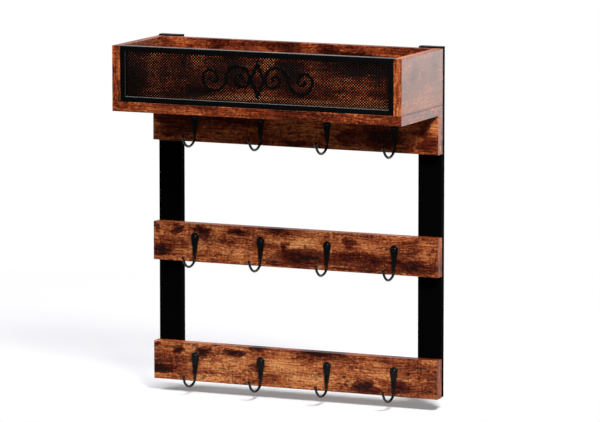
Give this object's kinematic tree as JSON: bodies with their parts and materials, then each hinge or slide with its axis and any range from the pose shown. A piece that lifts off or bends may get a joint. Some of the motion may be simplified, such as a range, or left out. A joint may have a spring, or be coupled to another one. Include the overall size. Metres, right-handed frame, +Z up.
{
  "type": "wall-mounted mug rack",
  "caption": "Wall-hung mug rack: black posts carry rustic wood rails with forged J-shaped hooks, below an open box shelf with a framed diamond-mesh front.",
  "frame": {"origin": "on the wall plane, midway between the round entry holes of the two keyhole hangers", "axes": "+Z up along the posts, +Y from the rack into the wall, +X to the rack's right as seen from its front"},
  "size_m": [0.445, 0.162, 0.5082],
  "materials": {
    "rustic_wood": "rustic brown wood-grain laminate, satin",
    "black_board": "matt black painted board",
    "black_metal": "satin black powder coat",
    "zinc_steel": "bright zinc plating",
    "beech": "bare beech"
  },
  "bodies": {
    "root": {"shelf_base": "rustic_wood", "shelf_back": "rustic_wood", "shelf_left_side": "rustic_wood", "shelf_right_side": "rustic_wood", "top_rail": "rustic_wood", "middle_rail": "rustic_wood", "bottom_rail": "rustic_wood", "left_post": "black_board", "right_post": "black_board", "frame_bottom_bar": "black_metal", "frame_top_bar": "black_metal", "frame_left_bar": "black_metal", "frame_right_bar": "black_metal", "front_mesh": "black_metal", "front_ornament": "black_metal", "hook_screws": "black_metal", "hook_bottom_1": "black_metal", "hook_bottom_2": "black_metal", "hook_bottom_3": "black_metal", "hook_bottom_4": "black_metal", "hook_middle_1": "black_metal", "hook_middle_2": "black_metal", "hook_middle_3": "black_metal", "hook_middle_4": "black_metal", "hook_top_1": "black_metal", "hook_top_2": "black_metal", "hook_top_3": "black_metal", "hook_top_4": "black_metal", "left_hanger": "zinc_steel", "right_hanger": "zinc_steel", "rail_screws": "zinc_steel", "shelf_screws": "zinc_steel", "base_screws": "zinc_steel", "frame_screws": "zinc_steel", "hanger_screws": "zinc_steel", "shelf_dowels": "beech"}
  },
  "joints": []
}
